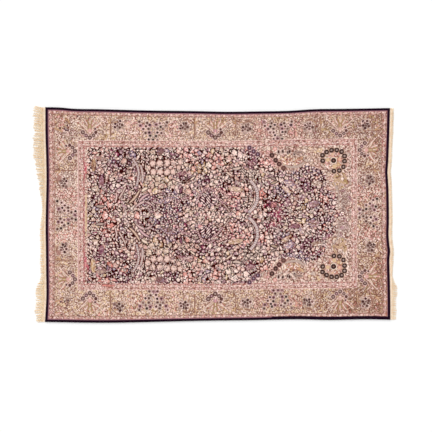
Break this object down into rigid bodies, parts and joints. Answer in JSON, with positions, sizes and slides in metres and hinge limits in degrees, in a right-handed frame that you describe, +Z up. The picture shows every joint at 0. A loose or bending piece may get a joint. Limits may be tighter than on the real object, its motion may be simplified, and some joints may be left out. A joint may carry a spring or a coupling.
{
  "type": "persian rug",
  "caption": "Oblong hand-knotted wool rug with a mirrored flower field, wide borders, dark overcast sides and a cotton fringe along both ends, lying flat.",
  "frame": {"origin": "on the floor under the middle of the outline box, fringe included", "axes": "+X along the rug's length towards the end with the short fringe, +Y across it, +Z up through the pile"},
  "size_m": [2.2664, 1.338, 0.008],
  "materials": {
    "wool_pile": "short knotted wool pile",
    "side_wool": "overcast dark wool yarn",
    "cotton_warp": "unbleached plied cotton"
  },
  "bodies": {
    "root": {"knotted_body": "wool_pile", "side_cord_upper": "side_wool", "side_cord_lower": "side_wool", "fringed_end_left": "cotton_warp", "fringed_end_right": "cotton_warp"}
  },
  "joints": []
}
